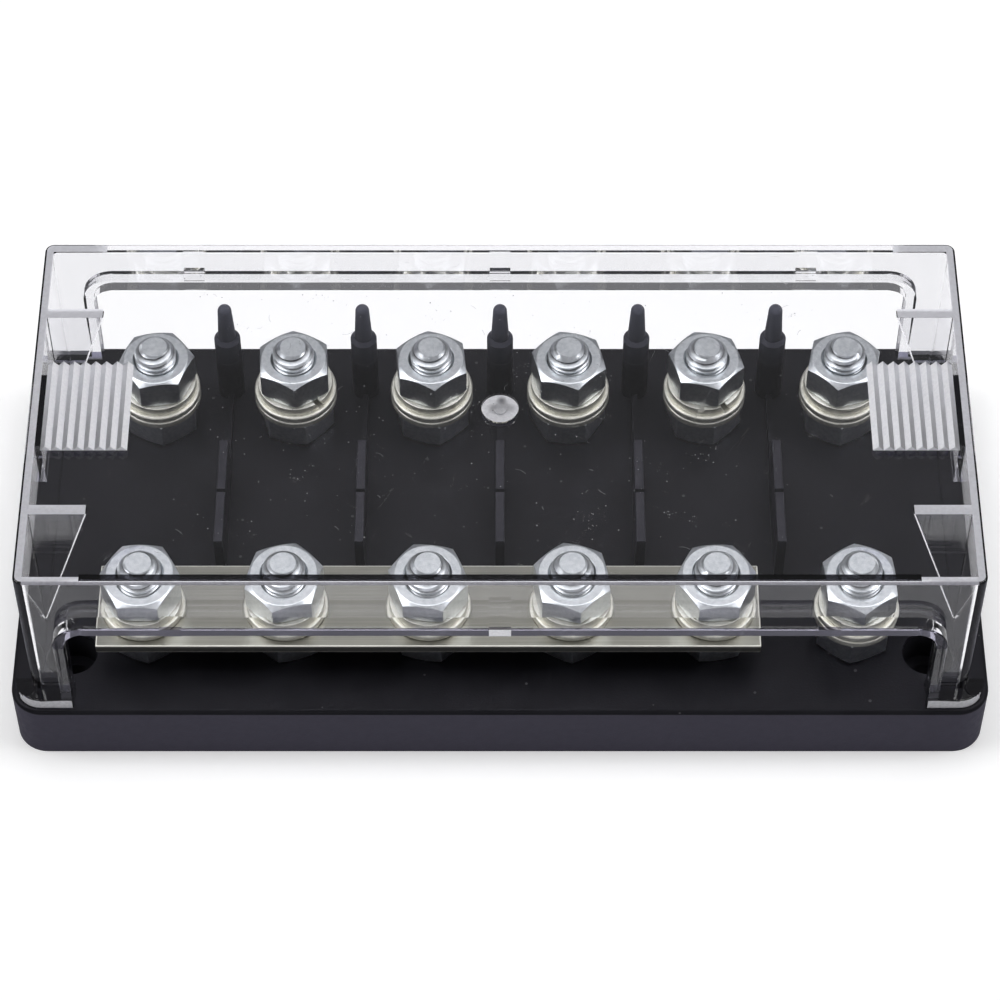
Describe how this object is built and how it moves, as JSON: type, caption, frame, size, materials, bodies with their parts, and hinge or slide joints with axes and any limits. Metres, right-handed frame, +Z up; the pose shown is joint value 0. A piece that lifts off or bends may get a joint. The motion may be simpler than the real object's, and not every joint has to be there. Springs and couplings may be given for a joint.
{
  "type": "multi-way fuse holder",
  "caption": "Bolt-down strip fuse holder: black moulded base, two rows of M8 studs with nuts and washers, a common bar and a clear lift-off cover.",
  "frame": {"origin": "middle of the base's underside", "axes": "+X along the rows of studs, +Z up, -Y towards the row with the common bar"},
  "size_m": [0.183, 0.0868, 0.0514],
  "materials": {
    "black_moulding": "satin",
    "clear_moulding": "polished clear",
    "plated_bar": "tin plated, brushed lengthwise",
    "washer_plating": "plated, slightly yellow",
    "zinc_plating": "bright zinc plated"
  },
  "bodies": {
    "base": {"base": "black_moulding", "bus_bar": "plated_bar", "lower_washers_rear": "washer_plating", "lower_washers_front": "washer_plating", "upper_washers_rear": "washer_plating", "upper_washers_front": "washer_plating", "stud_bolt_rear_1": "zinc_plating", "stud_bolt_rear_2": "zinc_plating", "stud_bolt_rear_3": "zinc_plating", "stud_bolt_rear_4": "zinc_plating", "stud_bolt_rear_5": "zinc_plating", "stud_bolt_rear_6": "zinc_plating", "stud_bolt_front_1": "zinc_plating", "stud_bolt_front_2": "zinc_plating", "stud_bolt_front_3": "zinc_plating", "stud_bolt_front_4": "zinc_plating", "stud_bolt_front_5": "zinc_plating", "stud_bolt_front_6": "zinc_plating", "seat_nut_rear_1": "zinc_plating", "seat_nut_rear_2": "zinc_plating", "seat_nut_rear_3": "zinc_plating", "seat_nut_rear_4": "zinc_plating", "seat_nut_rear_5": "zinc_plating", "seat_nut_rear_6": "zinc_plating", "seat_nut_front_1": "zinc_plating", "seat_nut_front_2": "zinc_plating", "seat_nut_front_3": "zinc_plating", "seat_nut_front_4": "zinc_plating", "seat_nut_front_5": "zinc_plating", "seat_nut_front_6": "zinc_plating", "spring_washer_rear_1": "washer_plating", "spring_washer_rear_2": "washer_plating", "spring_washer_rear_3": "washer_plating", "spring_washer_rear_4": "washer_plating", "spring_washer_rear_5": "washer_plating", "spring_washer_rear_6": "washer_plating", "spring_washer_front_1": "washer_plating", "spring_washer_front_2": "washer_plating", "spring_washer_front_3": "washer_plating", "spring_washer_front_4": "washer_plating", "spring_washer_front_5": "washer_plating", "spring_washer_front_6": "washer_plating"},
    "cover": {"cover": "clear_moulding"},
    "clamp_nut_rear_1": {"clamp_nut_rear_1": "zinc_plating"},
    "clamp_nut_rear_2": {"clamp_nut_rear_2": "zinc_plating"},
    "clamp_nut_rear_3": {"clamp_nut_rear_3": "zinc_plating"},
    "clamp_nut_rear_4": {"clamp_nut_rear_4": "zinc_plating"},
    "clamp_nut_rear_5": {"clamp_nut_rear_5": "zinc_plating"},
    "clamp_nut_rear_6": {"clamp_nut_rear_6": "zinc_plating"},
    "clamp_nut_front_1": {"clamp_nut_front_1": "zinc_plating"},
    "clamp_nut_front_2": {"clamp_nut_front_2": "zinc_plating"},
    "clamp_nut_front_3": {"clamp_nut_front_3": "zinc_plating"},
    "clamp_nut_front_4": {"clamp_nut_front_4": "zinc_plating"},
    "clamp_nut_front_5": {"clamp_nut_front_5": "zinc_plating"},
    "clamp_nut_front_6": {"clamp_nut_front_6": "zinc_plating"}
  },
  "joints": [
    {"name": "cover_lift", "type": "slide", "parent": "base", "child": "cover", "axis": [0, 0, 1], "range_m": [0, 0.06]},
    {"name": "rear_1_turn", "type": "hinge", "parent": "base", "child": "clamp_nut_rear_1", "pos_m": [-0.06663, 0.0255, 0.0289], "axis": [0, 0, 1], "continuous": true},
    {"name": "rear_2_turn", "type": "hinge", "parent": "base", "child": "clamp_nut_rear_2", "pos_m": [-0.03997, 0.0255, 0.0289], "axis": [0, 0, 1], "continuous": true},
    {"name": "rear_3_turn", "type": "hinge", "parent": "base", "child": "clamp_nut_rear_3", "pos_m": [-0.01333, 0.0255, 0.0289], "axis": [0, 0, 1], "continuous": true},
    {"name": "rear_4_turn", "type": "hinge", "parent": "base", "child": "clamp_nut_rear_4", "pos_m": [0.01333, 0.0255, 0.0289], "axis": [0, 0, 1], "continuous": true},
    {"name": "rear_5_turn", "type": "hinge", "parent": "base", "child": "clamp_nut_rear_5", "pos_m": [0.03997, 0.0255, 0.0289], "axis": [0, 0, 1], "continuous": true},
    {"name": "rear_6_turn", "type": "hinge", "parent": "base", "child": "clamp_nut_rear_6", "pos_m": [0.06663, 0.0255, 0.0289], "axis": [0, 0, 1], "continuous": true},
    {"name": "front_1_turn", "type": "hinge", "parent": "base", "child": "clamp_nut_front_1", "pos_m": [-0.06663, -0.0255, 0.0293], "axis": [0, 0, 1], "continuous": true},
    {"name": "front_2_turn", "type": "hinge", "parent": "base", "child": "clamp_nut_front_2", "pos_m": [-0.03997, -0.0255, 0.0293], "axis": [0, 0, 1], "continuous": true},
    {"name": "front_3_turn", "type": "hinge", "parent": "base", "child": "clamp_nut_front_3", "pos_m": [-0.01333, -0.0255, 0.0293], "axis": [0, 0, 1], "continuous": true},
    {"name": "front_4_turn", "type": "hinge", "parent": "base", "child": "clamp_nut_front_4", "pos_m": [0.01333, -0.0255, 0.0293], "axis": [0, 0, 1], "continuous": true},
    {"name": "front_5_turn", "type": "hinge", "parent": "base", "child": "clamp_nut_front_5", "pos_m": [0.03997, -0.0255, 0.0293], "axis": [0, 0, 1], "continuous": true},
    {"name": "front_6_turn", "type": "hinge", "parent": "base", "child": "clamp_nut_front_6", "pos_m": [0.06663, -0.0255, 0.0289], "axis": [0, 0, 1], "continuous": true}
  ]
}
